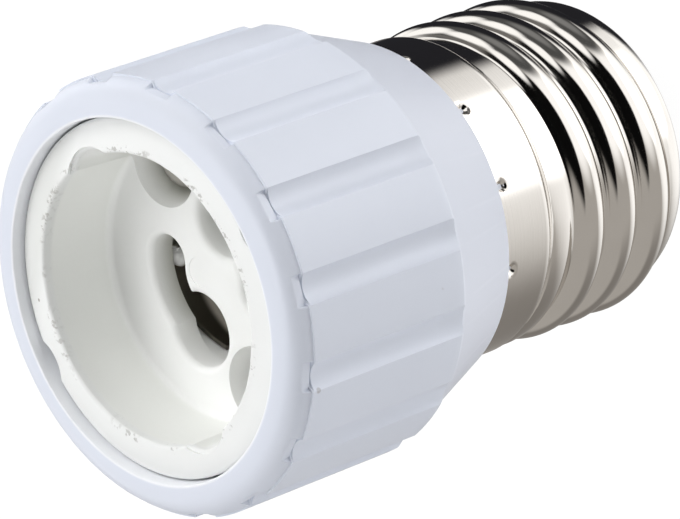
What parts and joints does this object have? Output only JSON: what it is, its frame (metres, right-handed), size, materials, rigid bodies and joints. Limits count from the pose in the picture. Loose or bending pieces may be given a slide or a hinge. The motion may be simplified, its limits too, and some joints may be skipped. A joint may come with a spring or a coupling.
{
  "type": "lamp socket adapter",
  "caption": "Lamp socket adapter: a threaded metal cap under a tapered, fluted plastic body, with a ceramic cup whose keyhole slots take a twist-lock pin lamp.",
  "frame": {"origin": "tip of the centre contact, on the axis of the screw cap", "axes": "+Z along the axis from the contact to the mouth of the socket; +X through the entry hole of the first keyhole"},
  "size_m": [0.0344, 0.0344, 0.052],
  "materials": {
    "housing_plastic": "satin moulded white with a cool tint",
    "ceramic": "matte unglazed white",
    "insulating_board": "pressed board",
    "contact_metal": "plain nickel plate on spring strip",
    "screw_steel": "zinc plated",
    "nickel": "bright nickel plate",
    "insulator_plastic": "moulded",
    "copper": "bare strands",
    "live_jacket": "sleeve",
    "neutral_jacket": "sleeve",
    "solder": "dull"
  },
  "bodies": {
    "root": {"fluted_housing": "housing_plastic", "ceramic_socket": "ceramic", "backing_plate": "insulating_board", "live_contact_clip": "contact_metal", "neutral_contact_clip": "contact_metal", "fixing_screws": "screw_steel", "screw_cap": "nickel", "cap_insulator": "insulator_plastic", "centre_contact": "nickel", "live_lead_core": "copper", "live_lead_jacket": "live_jacket", "neutral_lead_core": "copper", "neutral_lead_jacket": "neutral_jacket", "solder_joints": "solder"}
  },
  "joints": []
}
